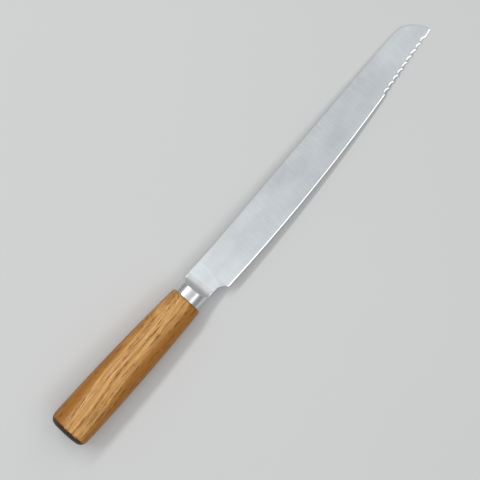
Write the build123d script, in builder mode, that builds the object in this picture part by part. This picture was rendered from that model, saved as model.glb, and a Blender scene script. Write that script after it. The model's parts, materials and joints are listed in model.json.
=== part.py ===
"""Bread knife with a hidden tang, lying on its side as it rests on a table.

Row frame: +X along the handle towards the blade's tip, +Y towards the spine, +Z up.
The origin is on the table, under the middle of the knife.
All sizes are in millimetres and degrees.
"""

from build123d import *
from math import atan, atan2, cos, degrees, radians, sin, sqrt, tan
import os

# Lengths along the handle's axis; x is counted from where the blade leaves the bolster
blade_length = 220.6
bolster_length = 11.0
handle_length = 114.2

# Blade outline; y is counted from the handle's axis, up to the spine and down to the edge
neck_top = 10.35
neck_bottom = -9.7
neck_shoulder_x = -2.2
neck_top_chamfer_x = 2.1
neck_top_chamfer_y = 1.7
neck_bottom_radius = 2.4
spine_bend = (22.0, 10.15)
spine_blend_radius = 500.0
spine_middle = (110.0, 13.4)
spine_end = (198.4, 16.15)
tip_arcs = ((64.0, 6.5), (11.0, 24.0), (21.5, 51.0))
choil_corner_x = 9.5
choil_radius = 6.2
heel = (13.7, -14.6)
edge_middle = (83.6, -12.95)
tip = (220.6, 0.65)

# Serration near the tip
tooth_pitch = 5.0
tooth_count = 9
tooth_line_angle = 7.0
last_tooth = (215.0, -0.4)
scallop_depth = 1.15
scallop_deepest = 2.0

# Blade thickness and grind
stock_thickness = 1.9
chord_half_thickness = 0.24
grind_start_width = 24.0
bevel_angle = 17.0
scallop_bevel_angle = 18.0
spine_chamfer = 0.22
plunge_x = 11.1
plunge_slant = 13.7
plunge_radius = 45.0

# Tang
tang_width = 12.0
tang_end_width = 8.0
tang_length = 86.0
tang_corner_radius = 2.0

# Bolster: oval section, its front scooped on both sides
bolster_front_width = 19.1
bolster_rear_width = 19.6
bolster_height_ratio = 0.83
scoop_radius = 7.5
scoop_reach = 3.5
scoop_slant = 3.4
scoop_bite = 0.03
bolster_rear_chamfer = 0.3

# Handle: oval section, widest near the butt
handle_front_width = 22.0
handle_width = 27.8
handle_height_ratio = 0.82
handle_widest_x = -108.0
handle_drop = 0.8
handle_section_count = 7
handle_front_radius = 1.4
butt_radius = 5.6
butt_crown = 0.9
pocket_width = 14.0
pocket_height = 3.6
pocket_length = 89.0

half_stock = stock_thickness / 2
handle_front_x = -bolster_length
butt_x = handle_front_x - handle_length

# Rest: the table touches the underside of the blade's tip and of the handle's swell.
# The handle's underside is a parabola, and the table is its tangent through the tip's contact.
rest_tip_x = 210.6
rest_tip_depth = 0.732
swell_x = handle_front_x - handle_widest_x
handle_depth = handle_width * handle_height_ratio / 2
swell_depth = (handle_width - handle_front_width) * handle_height_ratio / 2
swell_curve = swell_depth / swell_x**2
rest_reach = rest_tip_x - handle_widest_x
touch = rest_reach - sqrt(rest_reach**2 - (handle_depth - rest_tip_depth) / swell_curve)
rest_slope = 2 * swell_curve * touch
rest_pitch = atan(rest_slope)
axis_height = (
    handle_depth - swell_curve * touch**2 + rest_slope * (handle_widest_x + touch)
) * cos(rest_pitch)
middle_x = (blade_length + butt_x) / 2
middle_y = 0.74

# The knife's own plane: local x towards the tip, local y towards the spine
knife = Plane(
    origin=(-middle_x * cos(rest_pitch), -middle_y, axis_height),
    x_dir=(cos(rest_pitch), 0, -sin(rest_pitch)),
    z_dir=(sin(rest_pitch), 0, cos(rest_pitch)),
)


def direction(turn):
    """Direction in the knife's plane, turned from the handle's axis towards the spine."""
    return knife.x_dir * cos(radians(turn)) + knife.y_dir * sin(radians(turn))


def point(x, y):
    """Point of the knife's plane, in the row frame."""
    return knife.from_local_coords(Vector(x, y, 0))


def plane_on(x, y, turn=0.0):
    """Plane that lies in the knife's plane, with its own x turned towards the spine."""
    return Plane(origin=point(x, y), x_dir=direction(turn), z_dir=knife.z_dir)


def plane_across(x, y=0.0, turn=0.0):
    """Plane across the knife, facing the tip: its own x is towards the spine, its y is up."""
    return Plane(origin=point(x, y), x_dir=direction(turn + 90), z_dir=direction(turn))


def plane_along(x, y=0.0, turn=0.0):
    """Plane lengthwise through the knife: its own x is towards the tip, its y is up."""
    return Plane(origin=point(x, y), x_dir=direction(turn), z_dir=direction(turn - 90))


# --- Grind: the space that the blade's ground faces leave ------------------------------------

chord_angle = degrees(atan2(last_tooth[1] - heel[1], last_tooth[0] - heel[0]))
grind_slope = (half_stock - chord_half_thickness) / grind_start_width
wedge_margin = 6.0
ground_margin = 30.0
wedge_low_half = chord_half_thickness - grind_slope * wedge_margin
wedge_high_half = half_stock + grind_slope * wedge_margin
plunge_depth = half_stock - chord_half_thickness / 2
plunge_reach = sqrt(2 * plunge_radius * plunge_depth - plunge_depth**2)

with BuildPart() as grind:
    # Flat wedge, thin along the chord of the edge and thicker towards the spine
    with BuildSketch(plane_across(*heel, chord_angle)):
        Polygon(
            (-wedge_margin, -wedge_low_half),
            (grind_start_width + wedge_margin, -wedge_high_half),
            (grind_start_width + wedge_margin, wedge_high_half),
            (-wedge_margin, wedge_low_half),
            align=None,
        )
    extrude(amount=blade_length, both=True)
    # Unground stock from the tang to the plunge, which ends in the grinding wheel's radius
    with BuildSketch(plane_along(plunge_x, 0, -plunge_slant)):
        with BuildLine():
            flat = Line((-blade_length, half_stock), (0, half_stock))
            ramp = RadiusArc(flat @ 1, (plunge_reach, half_stock - plunge_depth), -plunge_radius)
            mirror(about=Plane.XZ)
            Line(flat @ 0, (-blade_length, -half_stock))
            Line(ramp @ 1, (plunge_reach, plunge_depth - half_stock))
        make_face()
    extrude(amount=ground_margin, both=True)

# --- Scoop: ground across the bolster's front, just into the blade's faces -------------------

scoop_x = scoop_radius - scoop_reach

with BuildPart() as scoop:
    with BuildSketch(plane_along(scoop_x, 0, scoop_slant)):
        with Locations((0, half_stock - scoop_bite + scoop_radius)):
            Circle(scoop_radius)
        mirror(about=Plane.XZ)
    extrude(amount=bolster_rear_width, both=True)

# --- Cutters for the cutting edge -------------------------------------------------------------

cut_height = 0.7
cut_width = 3.0
edge_margin = 1.0
heel_overrun = 0.2

tooth_line = Vector(1, 0).rotate(Axis.Z, tooth_line_angle)
teeth = [Vector(*last_tooth) - tooth_line * tooth_pitch * i for i in range(tooth_count + 1)]
plain_edge = ThreePointArc(teeth[-1], edge_middle, heel)
edge_centre = plain_edge.arc_center
edge_radius = plain_edge.radius
heel_bearing = degrees(atan2(heel[1] - edge_centre.Y, heel[0] - edge_centre.X))
edge_sweep = degrees(plain_edge.length / edge_radius)
tip_edge_angle = degrees(atan2(tip[1] - last_tooth[1], tip[0] - last_tooth[0]))
bevel_reach = cut_height / tan(radians(bevel_angle))
scallop_reach = cut_height / tan(radians(scallop_bevel_angle))


def bevel_notch(apex):
    """Space outside a sharp edge at local x = apex, with the blade on the side of smaller x."""
    Polygon(
        (apex, 0),
        (apex - bevel_reach, cut_height),
        (apex + cut_width, cut_height),
        (apex + cut_width, -cut_height),
        (apex - bevel_reach, -cut_height),
        align=None,
    )


with BuildPart() as plain_edge_cutter:
    with BuildSketch(plane_along(edge_centre.X, edge_centre.Y, heel_bearing - heel_overrun)):
        bevel_notch(edge_radius)
    revolve(
        axis=Axis(point(edge_centre.X, edge_centre.Y), knife.z_dir),
        revolution_arc=edge_sweep + heel_overrun,
    )

with BuildPart() as tip_edge_cutter:
    with BuildSketch(plane_across(*last_tooth, tip_edge_angle)):
        with Locations(Rotation(0, 0, 180)):
            bevel_notch(0)
    extrude(amount=2 * tooth_pitch)

with BuildPart() as scallop_cutter:
    # Two half cones that share the line where the scallop is deepest
    for run, sweep in ((scallop_deepest, 180), (tooth_pitch - scallop_deepest, -180)):
        radius = (run**2 + scallop_depth**2) / (2 * scallop_depth)
        centre = Vector(scallop_deepest, scallop_depth - radius, 0)
        with BuildSketch(Plane(origin=centre, x_dir=(0, 1, 0), z_dir=(1, 0, 0))):
            Polygon(
                (0, -cut_height),
                (radius + scallop_reach, -cut_height),
                (radius, 0),
                (radius + scallop_reach, cut_height),
                (0, cut_height),
                align=None,
            )
        revolve(axis=Axis(centre, (0, 0, 1)), revolution_arc=sweep)

# --- Blade ----------------------------------------------------------------------------------

tang_end_x = handle_front_x - tang_length
slant = (Vector(*heel) - Vector(choil_corner_x, neck_bottom)).normalized()
below_heel = Vector(*heel) + slant * edge_margin
below = Vector(0, -edge_margin)

with BuildPart() as blade:
    with BuildSketch(knife):
        with BuildLine():
            # Tang, shoulder and the straight part of the spine
            tang_top = Polyline(
                (tang_end_x, tang_end_width / 2),
                (handle_front_x, tang_width / 2),
                (neck_shoulder_x, tang_width / 2),
                (neck_shoulder_x, neck_top - neck_top_chamfer_y),
                (neck_shoulder_x + neck_top_chamfer_x, neck_top),
            )
            spine = FilletPolyline(
                tang_top @ 1, spine_bend, spine_middle, radius=spine_blend_radius
            )
            # Spine's end and the rounded tip, each arc tangent to the one before
            arc = TangentArc(spine @ 1, spine_end, tangent=spine % 1)
            for radius, turn in tip_arcs:
                arc = JernArc(arc @ 1, arc % 1, radius, -turn)
            # Edge side, left a little too low for the cutters that follow
            low_line = Polyline(arc @ 1, Vector(*last_tooth) + below, teeth[-1] + below)
            ThreePointArc(low_line @ 1, Vector(*edge_middle) + below, below_heel)
            choil = FilletPolyline(
                below_heel,
                (choil_corner_x, neck_bottom),
                (neck_shoulder_x, neck_bottom),
                (neck_shoulder_x, -tang_width / 2),
                radius=(choil_radius, neck_bottom_radius),
            )
            Polyline(
                choil @ 1,
                (handle_front_x, -tang_width / 2),
                (tang_end_x, -tang_end_width / 2),
                tang_top @ 0,
            )
        make_face()
    extrude(amount=half_stock, both=True)
    tang_end = blade.edges().filter_by(Axis(knife.origin, knife.z_dir)).sort_by(Axis.X)[:2]
    fillet(tang_end, radius=tang_corner_radius)
    add(grind.part, mode=Mode.INTERSECT)
    # Break the spine's long edges, from the neck round to the tip
    spine_walls = (
        blade.faces()
        .filter_by(lambda face: abs(face.normal_at().dot(knife.z_dir)) < 0.001)
        .filter_by(lambda face: face.normal_at().dot(knife.y_dir) > 0.4)
        .filter_by(lambda face: knife.to_local_coords(face.center()).X > neck_shoulder_x)
    )
    spine_edges = spine_walls.edges().filter_by(
        lambda edge: abs(knife.to_local_coords(edge.center()).Z) > 0.1
    )
    chamfer(spine_edges, length=spine_chamfer)
    # Cutting edge: plain behind, short and plain at the tip, scalloped between
    add(plain_edge_cutter.part, mode=Mode.SUBTRACT)
    add(tip_edge_cutter.part, mode=Mode.SUBTRACT)
    with Locations(*[plane_on(tooth.X, tooth.Y, tooth_line_angle) for tooth in teeth[1:]]):
        add(scallop_cutter.part, mode=Mode.SUBTRACT)
    add(scoop.part, mode=Mode.SUBTRACT)

blade.part.label = "blade"

# --- Bolster --------------------------------------------------------------------------------

with BuildPart() as bolster:
    for x, width in (
        (handle_front_x, bolster_rear_width),
        (scoop_x, bolster_front_width),
    ):
        with BuildSketch(plane_across(x)):
            Ellipse(width / 2, width * bolster_height_ratio / 2)
    loft()
    rear_rim = bolster.faces().sort_by(Axis.X)[0].edges()
    chamfer(rear_rim, length=bolster_rear_chamfer)
    add(scoop.part, mode=Mode.SUBTRACT)
    add(blade.part, mode=Mode.SUBTRACT)

bolster.part.label = "bolster"

# --- Handle ---------------------------------------------------------------------------------


def handle_width_at(x):
    """Width of the handle, which swells in one even curve to its widest place."""
    narrowing = handle_width - handle_front_width
    return handle_width - narrowing * ((x - handle_widest_x) / swell_x) ** 2


butt_half_width = handle_width_at(butt_x) / 2
crown_radius = butt_half_width**2 / (2 * butt_crown)

with BuildPart() as handle:
    for i in range(handle_section_count):
        x = handle_front_x - handle_length * i / (handle_section_count - 1)
        with BuildSketch(plane_across(x, -handle_drop)):
            Ellipse(handle_width_at(x) / 2, handle_width_at(x) * handle_height_ratio / 2)
    loft()
    # Crown the butt, then round it and the front rim
    with Locations(plane_across(butt_x + crown_radius, -handle_drop)):
        Sphere(crown_radius, mode=Mode.INTERSECT)
    butt_rim = handle.faces().sort_by(Axis.X)[0].edges()
    fillet(butt_rim, radius=butt_radius)
    front_rim = handle.faces().sort_by(Axis.X)[-1].edges()
    fillet(front_rim, radius=handle_front_radius)
    # Slot for the tang
    with BuildSketch(plane_across(handle_front_x)):
        Rectangle(pocket_width, pocket_height)
    extrude(amount=-pocket_length, mode=Mode.SUBTRACT)

handle.part.label = "handle"

# --- Adhesive bed round the tang ------------------------------------------------------------

with BuildPart() as tang_adhesive:
    with BuildSketch(plane_across(handle_front_x)):
        Rectangle(pocket_width, pocket_height)
    extrude(amount=-pocket_length)
    add(blade.part, mode=Mode.SUBTRACT)

tang_adhesive.part.label = "tang_adhesive"

os.makedirs("parts", exist_ok=True)
for piece in (blade, bolster, handle, tang_adhesive):
    export_step(piece.part, f"parts/{piece.part.label}.step")
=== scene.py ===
"""Bread knife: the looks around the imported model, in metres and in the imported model's frame.

Materials use the knife's own coordinates, in millimetres: x along the handle towards the tip,
from where the blade leaves the bolster, y from the handle's axis towards the spine, z up.
"""

import json
import math

import bpy
from mathutils import Matrix, Vector


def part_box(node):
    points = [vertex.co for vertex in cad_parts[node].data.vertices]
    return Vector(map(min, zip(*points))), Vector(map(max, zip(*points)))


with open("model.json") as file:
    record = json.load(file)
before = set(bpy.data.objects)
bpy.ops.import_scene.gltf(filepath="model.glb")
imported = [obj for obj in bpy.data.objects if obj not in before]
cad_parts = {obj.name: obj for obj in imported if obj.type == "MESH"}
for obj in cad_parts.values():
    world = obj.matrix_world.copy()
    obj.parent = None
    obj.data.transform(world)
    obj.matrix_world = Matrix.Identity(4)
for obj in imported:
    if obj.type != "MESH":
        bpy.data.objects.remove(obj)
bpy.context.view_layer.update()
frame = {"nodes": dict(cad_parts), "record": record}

# --- The knife's own frame ------------------------------------------------------------------

MM_PER_M = 1000

# Both flat faces of the blade are given at this place on the knife, in metres
FACE_X = 0.090
FACE_Y = 0.0005

faces = {mount["name"]: mount for mount in frame["record"]["mounts"]}
face_up = faces["blade_side_up"]
face_down = faces["blade_side_down"]
up = (Vector(face_up["axis"]) - Vector(face_down["axis"])).normalized()
spineward = Vector((0, 1, 0))
tipward = spineward.cross(up)
between_faces = (Vector(face_up["pos_m"]) + Vector(face_down["pos_m"])) / 2
origin = between_faces - tipward * FACE_X - spineward * FACE_Y

# --- Stage ----------------------------------------------------------------------------------

VIEW_WIDTH = 0.3037
VIEW_TURN = math.radians(-47.67)
VIEW_CENTRE = Vector((-0.00767, -0.00075, 0.009))
CAMERA_DISTANCE = 2.0
SENSOR = 36.0

FLOOR_HALF = 3.0
FLOOR_CLOUD = 0.5
FLOOR_DARK = (0.63, 0.63, 0.625)
FLOOR_LIGHT = (0.67, 0.67, 0.66)

WORLD_COLOR = (0.92, 0.96, 1.0)
WORLD_STRENGTH = 0.33


def add_camera():
    """A camera that looks straight down, turned so that the tip points up and to the right."""
    data = bpy.data.cameras.new("camera")
    data.sensor_width = SENSOR
    data.lens = SENSOR * CAMERA_DISTANCE / VIEW_WIDTH
    camera = bpy.data.objects.new("camera", data)
    camera.location = VIEW_CENTRE + Vector((0, 0, CAMERA_DISTANCE))
    camera.rotation_euler = (0, 0, VIEW_TURN)
    bpy.context.scene.collection.objects.link(camera)
    bpy.context.scene.camera = camera


def add_light(name, place, target, size, power):
    """A flat rectangular light that faces its target; sizes in metres, power in watts."""
    data = bpy.data.lights.new(name, "AREA")
    data.shape = "RECTANGLE"
    data.size, data.size_y = size
    data.energy = power
    light = bpy.data.objects.new(name, data)
    light.location = place
    light.rotation_euler = (Vector(target) - Vector(place)).to_track_quat("-Z", "Y").to_euler()
    bpy.context.scene.collection.objects.link(light)


def add_world():
    world = bpy.data.worlds.new("world")
    bpy.context.scene.world = world
    world.use_nodes = True
    background = world.node_tree.nodes["Background"]
    background.inputs["Color"].default_value = (*WORLD_COLOR, 1)
    background.inputs["Strength"].default_value = WORLD_STRENGTH


# --- Materials ------------------------------------------------------------------------------

# Sockets of a colour Mix node
MIX_FACTOR, MIX_FIRST, MIX_SECOND = 0, 6, 7
MIX_RESULT = 2

# Steel: each piece has a light and a dark tone, and its edges get a brighter colour than both, a
# painted highlight line, with a smoother polish
BLADE_LIGHT = (0.87, 0.90, 0.915)
BLADE_DARK = (0.68, 0.71, 0.73)
BLADE_ROUGHNESS = 0.30
BLADE_LINES = (0.16, 9.0, 9.0)
BLADE_BLOTCHES = (30.0, 14.0, 14.0)
BLADE_EDGE_WIDTH = 0.45
BOLSTER_LIGHT = (0.80, 0.80, 0.79)
BOLSTER_DARK = (0.64, 0.64, 0.63)
BOLSTER_ROUGHNESS = 0.28
BOLSTER_LINES = (5.0, 0.12, 0.12)
BOLSTER_BLOTCHES = (6.0, 6.0, 6.0)
BOLSTER_EDGE_WIDTH = 0.06
# Painted highlight: the brighter steel colour along every edge
PAINTED_EDGE_HIGHLIGHT = (0.98, 0.985, 0.985)
EDGE_POLISH = -0.08
BRUSH_DEPTH = 0.004
ROUGHNESS_SPREAD = 0.12

# The bolster's oval: its height as a share of its width, and how far in its scoop is ground
BOLSTER_HEIGHT_RATIO = 0.83
SCOOP_STARTS = 0.945
SCOOP_FULL = 0.925
SCOOP_ROUGHNESS = 0.20

# Wood
RING_SPACING = 3.1
PITH_DISTANCE = 30.0
GRAIN_RISE = 0.06
DRIFT_SWAY = 11.0
WAVE_SWAY = 1.6
# Painted light and shade: the wood is pale towards the lit spine side and deep on the shaded
# edge side
LIT_BAND_SIDE_Y = 10.5
WOOD_RELIEF = 0.10
WOOD_SPECULAR = 0.4
WOOD_SHADED_EDGE_SIDE = (0.41, 0.152, 0.008)
WOOD_LIT_SPINE_SIDE = (0.81, 0.455, 0.150)
WOOD_STREAK = (0.40, 0.155, 0.016)
WOOD_EARLY = (0.36, 0.145, 0.020)
WOOD_FIBRE = (0.25, 0.085, 0.010)
WOOD_PORE = (0.070, 0.024, 0.006)
# The butt's end grain: darker wood, deepened to near black as painted shade
BUTT_GRAIN_IN_SHADE = (0.050, 0.017, 0.009)
BUTT_PORE_IN_SHADE = (0.010, 0.005, 0.003)

# Cured resin
RESIN_DARK = (0.27, 0.22, 0.11)
RESIN_LIGHT = (0.36, 0.30, 0.16)
RESIN_ROUGHNESS = 0.35
RESIN_RELIEF = 0.1


class Material:
    """A node material, with short ways to add nodes and to link them."""

    def __init__(self, name):
        self.data = bpy.data.materials.new(name)
        self.data.use_nodes = True
        self.tree = self.data.node_tree
        self.shader = self.tree.nodes["Principled BSDF"]

    def node(self, kind, inputs=(), **settings):
        node = self.tree.nodes.new(kind)
        for key, value in settings.items():
            setattr(node, key, value)
        for key, value in dict(inputs).items():
            self.feed(node.inputs[key], value)
        return node

    def feed(self, socket, value):
        """Link a socket to a value that is a socket, or set it to a constant."""
        if isinstance(value, bpy.types.NodeSocket):
            self.tree.links.new(value, socket)
        else:
            socket.default_value = value

    def math(self, operation, *values, clamp=False):
        node = self.node(
            "ShaderNodeMath", enumerate(values), operation=operation, use_clamp=clamp
        )
        return node.outputs[0]

    def vector(self, operation, *values, output="Vector"):
        node = self.node("ShaderNodeVectorMath", enumerate(values), operation=operation)
        return node.outputs[output]

    def knife_place(self):
        """The surface point in the knife's own frame, in millimetres."""
        here = self.node("ShaderNodeTexCoord").outputs["Object"]
        turned = Matrix((tipward, spineward, up)).transposed().to_euler()
        mapping = self.node("ShaderNodeMapping", {"Vector": here}, vector_type="TEXTURE")
        mapping.inputs["Location"].default_value = origin
        mapping.inputs["Rotation"].default_value = turned
        mapping.inputs["Scale"].default_value = (0.001, 0.001, 0.001)
        return mapping.outputs["Vector"]

    def along(self, axis):
        """How much the surface faces along a direction, from -1 to 1."""
        normal = self.node("ShaderNodeNewGeometry").outputs["Normal"]
        return self.vector("DOT_PRODUCT", normal, axis, output="Value")

    def noise(self, place, periods, detail=2.0, roughness=0.5, shift=0.0):
        """Noise from 0 to 1 whose grains are about as long as periods, in place's own unit."""
        scaled = self.vector("DIVIDE", place, periods)
        moved = self.vector("ADD", scaled, (shift, shift, shift))
        inputs = {"Vector": moved, "Scale": 1.0, "Detail": detail, "Roughness": roughness}
        return self.node("ShaderNodeTexNoise", inputs).outputs["Fac"]

    def ramp(self, value, low, high, start=0.0, end=1.0):
        """A smooth step: start where value is low, end where it is high."""
        inputs = {
            "Value": value,
            "From Min": low,
            "From Max": high,
            "To Min": start,
            "To Max": end,
        }
        node = self.node("ShaderNodeMapRange", inputs, interpolation_type="SMOOTHSTEP")
        return node.outputs["Result"]

    def mix(self, factor, first, second):
        """The first colour where the factor is 0, and the second where it is 1."""
        node = self.node("ShaderNodeMix", data_type="RGBA")
        self.feed(node.inputs[MIX_FACTOR], factor)
        for socket, value in ((MIX_FIRST, first), (MIX_SECOND, second)):
            self.feed(node.inputs[socket], (*value, 1) if isinstance(value, tuple) else value)
        return node.outputs[MIX_RESULT]

    def bump(self, height, depth):
        """Relief of the given depth, in millimetres."""
        inputs = {"Height": height, "Distance": depth / MM_PER_M, "Strength": 1.0}
        return self.node("ShaderNodeBump", inputs).outputs["Normal"]


def brushed_steel(name, light, dark, roughness, lines, blotches, edge_width):
    """Satin steel: fine lines, uneven from place to place, with a painted highlight line of
    brighter colour along the edges, which are also polished smoother.
    """
    m = Material(name)
    place = m.knife_place()
    fine = m.noise(place, lines, detail=3.0, roughness=0.6)
    coarse = m.noise(place, tuple(4 * size for size in lines), shift=3.0)
    cloud = m.noise(place, blotches, shift=7.0)
    tone = m.math("ADD", m.math("MULTIPLY", fine, 0.5), m.math("MULTIPLY", coarse, 0.25))
    tone = m.math("ADD", tone, m.math("MULTIPLY", cloud, 0.45))
    color = m.mix(m.ramp(tone, 0.4, 0.8), dark, light)
    # A rounded normal leaves the true one near an edge; there the colour is brightened as a
    # painted highlight line, and the steel is polished smoother
    rounded = m.node("ShaderNodeBevel", {"Radius": edge_width / MM_PER_M}, samples=8).outputs[0]
    normal = m.node("ShaderNodeNewGeometry").outputs["Normal"]
    agreement = m.vector("DOT_PRODUCT", rounded, normal, output="Value")
    edges = m.ramp(agreement, 0.997, 0.95)
    # Painted highlight: the colour near an edge is mixed towards the brighter edge steel
    m.feed(m.shader.inputs["Base Color"], m.mix(edges, color, PAINTED_EDGE_HIGHLIGHT))
    lowest = roughness - ROUGHNESS_SPREAD / 2
    spread = m.math("MULTIPLY_ADD", fine, ROUGHNESS_SPREAD, lowest)
    m.feed(m.shader.inputs["Roughness"], m.math("MULTIPLY_ADD", edges, EDGE_POLISH, spread))
    m.feed(m.shader.inputs["Normal"], m.bump(m.math("ADD", fine, coarse), BRUSH_DEPTH))
    m.shader.inputs["Metallic"].default_value = 1.0
    return m


def blade_steel():
    return brushed_steel(
        "blade_steel", BLADE_LIGHT, BLADE_DARK, BLADE_ROUGHNESS, BLADE_LINES, BLADE_BLOTCHES,
        BLADE_EDGE_WIDTH,
    )


def bolster_steel():
    """The bolster's steel: polished round the oval, and ground satin in the scoop."""
    m = brushed_steel(
        "bolster_steel", BOLSTER_LIGHT, BOLSTER_DARK, BOLSTER_ROUGHNESS, BOLSTER_LINES,
        BOLSTER_BLOTCHES, BOLSTER_EDGE_WIDTH,
    )
    low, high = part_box("bolster")
    half_width = (high.y - low.y) / 2 * MM_PER_M
    half_height = half_width * BOLSTER_HEIGHT_RATIO
    # Distance from the handle's axis as a share of the oval: x hardly counts
    scaled = m.vector("DIVIDE", m.knife_place(), (1e6, half_width, half_height))
    reach = m.vector("LENGTH", scaled, output="Value")
    ground = m.ramp(reach, SCOOP_STARTS, SCOOP_FULL)
    polish = m.shader.inputs["Roughness"].links[0].from_socket
    duller = m.math("MULTIPLY_ADD", ground, SCOOP_ROUGHNESS, polish)
    m.feed(m.shader.inputs["Roughness"], duller)
    return m


def handle_wood():
    """Ring-porous hardwood: rings round a far pith, dark pores in them, and dark end grain on
    the butt, deepened to near black as painted shade.
    """
    m = Material("handle_wood")
    place = m.knife_place()
    # The grain wanders and rises slowly towards the spine
    drift = m.noise(place, (90.0, 30.0, 30.0), detail=1.0, shift=11.0)
    wave = m.noise(place, (26.0, 7.0, 7.0), detail=2.0, shift=5.0)
    split = m.node("ShaderNodeSeparateXYZ", {"Vector": place}).outputs
    rise = m.math("MULTIPLY", split[0], GRAIN_RISE)
    sway = m.math(
        "ADD", m.math("MULTIPLY", drift, DRIFT_SWAY), m.math("MULTIPLY", wave, WAVE_SWAY)
    )
    side = m.math("SUBTRACT", m.math("ADD", split[1], sway), rise)
    # Rings, each with early wood near its start
    from_pith = m.node("ShaderNodeCombineXYZ", {
        "X": m.math("ADD", side, PITH_DISTANCE),
        "Y": m.math("ADD", split[2], PITH_DISTANCE),
    })
    radius = m.vector("LENGTH", from_pith.outputs[0], output="Value")
    phase = m.math("FRACT", m.math("DIVIDE", radius, RING_SPACING))
    early = m.math("MULTIPLY", m.ramp(phase, 0.0, 0.10), m.ramp(phase, 0.80, 0.35))
    # Pores and fibres run along the warped grain
    grain = m.node("ShaderNodeCombineXYZ", {"X": split[0], "Y": side, "Z": split[2]}).outputs[0]
    pores = m.noise(grain, (6.0, 0.45, 0.45), detail=3.0, roughness=0.65, shift=2.0)
    clusters = m.noise(grain, (16.0, 1.5, 1.5), detail=2.0, shift=9.0)
    fibre = m.noise(grain, (12.0, 0.28, 0.28), detail=3.0, roughness=0.7, shift=4.0)
    streak = m.noise(grain, (40.0, 1.3, 1.3), detail=3.0, roughness=0.6, shift=6.0)
    broad = m.noise(grain, (120.0, 6.0, 6.0), detail=1.0, shift=0.2)
    # Pores open most in early wood, and in clusters
    opened = m.math(
        "MULTIPLY", m.ramp(pores, 0.50, 0.62), m.math("MULTIPLY_ADD", early, 0.7, 0.3)
    )
    opened = m.math("MULTIPLY", opened, m.ramp(clusters, 0.42, 0.58), clamp=True)
    # Colours: a pale band along the spine half of the handle and deep colour on the edge half,
    # painted light on the lit side and painted shade on the shaded side, wandering with broad
    # noise like real figure; then darker figure laid over it
    from_lit_band = m.math("ABSOLUTE", m.math("SUBTRACT", side, LIT_BAND_SIDE_Y))
    uneven_lit_band = m.math("MULTIPLY_ADD", broad, -9.0, from_lit_band)
    # Painted light and shade: pale round the band on the spine side, deep on the edge side
    color = m.mix(m.ramp(uneven_lit_band, 6.5, 0.0), WOOD_SHADED_EDGE_SIDE, WOOD_LIT_SPINE_SIDE)
    color = m.mix(m.ramp(streak, 0.40, 0.66, 0.0, 0.65), color, WOOD_STREAK)
    color = m.mix(m.math("MULTIPLY", early, 0.35), color, WOOD_EARLY)
    color = m.mix(m.ramp(fibre, 0.42, 0.68, 0.0, 0.55), color, WOOD_FIBRE)
    color = m.mix(m.math("MULTIPLY", opened, 0.9), color, WOOD_PORE)
    # Dark end grain where the surface faces the butt, with a ragged border; its near-black depth
    # is painted shade on the butt's rounded end
    ragged = m.math("MULTIPLY_ADD", pores, 0.8, m.along(tuple(-tipward)))
    end = m.ramp(ragged, 0.76, 0.90)
    ends = m.mix(m.ramp(pores, 0.45, 0.6), BUTT_GRAIN_IN_SHADE, BUTT_PORE_IN_SHADE)
    m.feed(m.shader.inputs["Base Color"], m.mix(end, color, ends))
    gloss = m.math("MULTIPLY_ADD", opened, 0.25, 0.36)
    m.feed(m.shader.inputs["Roughness"], m.math("MULTIPLY_ADD", fibre, 0.14, gloss))
    height = m.math("MULTIPLY_ADD", opened, -1.0, m.math("MULTIPLY", fibre, 0.4))
    m.feed(m.shader.inputs["Normal"], m.bump(height, WOOD_RELIEF))
    m.shader.inputs["Specular IOR Level"].default_value = WOOD_SPECULAR
    return m


def cured_resin():
    m = Material("adhesive")
    cloud = m.noise(m.knife_place(), (6.0, 6.0, 6.0))
    m.feed(m.shader.inputs["Base Color"], m.mix(cloud, RESIN_DARK, RESIN_LIGHT))
    m.feed(m.shader.inputs["Normal"], m.bump(cloud, RESIN_RELIEF))
    m.shader.inputs["Roughness"].default_value = RESIN_ROUGHNESS
    return m


def pale_floor():
    m = Material("floor")
    place = m.node("ShaderNodeTexCoord").outputs["Object"]
    cloud = m.noise(place, (FLOOR_CLOUD, FLOOR_CLOUD, FLOOR_CLOUD))
    m.feed(m.shader.inputs["Base Color"], m.mix(cloud, FLOOR_DARK, FLOOR_LIGHT))
    m.shader.inputs["Roughness"].default_value = 0.9
    return m


def add_floor():
    mesh = bpy.data.meshes.new("floor")
    signs = ((-1, -1), (1, -1), (1, 1), (-1, 1))
    corners = [(x * FLOOR_HALF, y * FLOOR_HALF, 0) for x, y in signs]
    mesh.from_pydata(corners, [], [(0, 1, 2, 3)])
    mesh.materials.append(pale_floor().data)
    floor = bpy.data.objects.new("floor", mesh)
    bpy.context.scene.collection.objects.link(floor)


def dress(node, material):
    """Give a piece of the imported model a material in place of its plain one."""
    slots = frame["nodes"][node].data.materials
    slots.clear()
    slots.append(material.data)


bpy.context.scene.view_settings.view_transform = "Standard"
add_camera()
add_floor()
add_world()
# A broad soft light over the handle, a fill beyond the tip and a long strip on either side
add_light("overhead", (-0.62, 0.15, 1.3), (-0.30, 0.1, 0), (1.5, 1.5), 5.8)
add_light("far_end", (0.95, 0.0, 1.1), (0.2, 0, 0), (0.6, 1.2), 2.1)
add_light("spine_side", (-0.1, 0.85, 1.2), (0, 0, 0), (1.4, 0.2), 8.0)
add_light("edge_side", (0.0, -0.78, 1.1), (0, 0, 0), (1.5, 0.45), 3.2)

dress("blade", blade_steel())
dress("bolster", bolster_steel())
dress("handle", handle_wood())
dress("tang_adhesive", cured_resin())
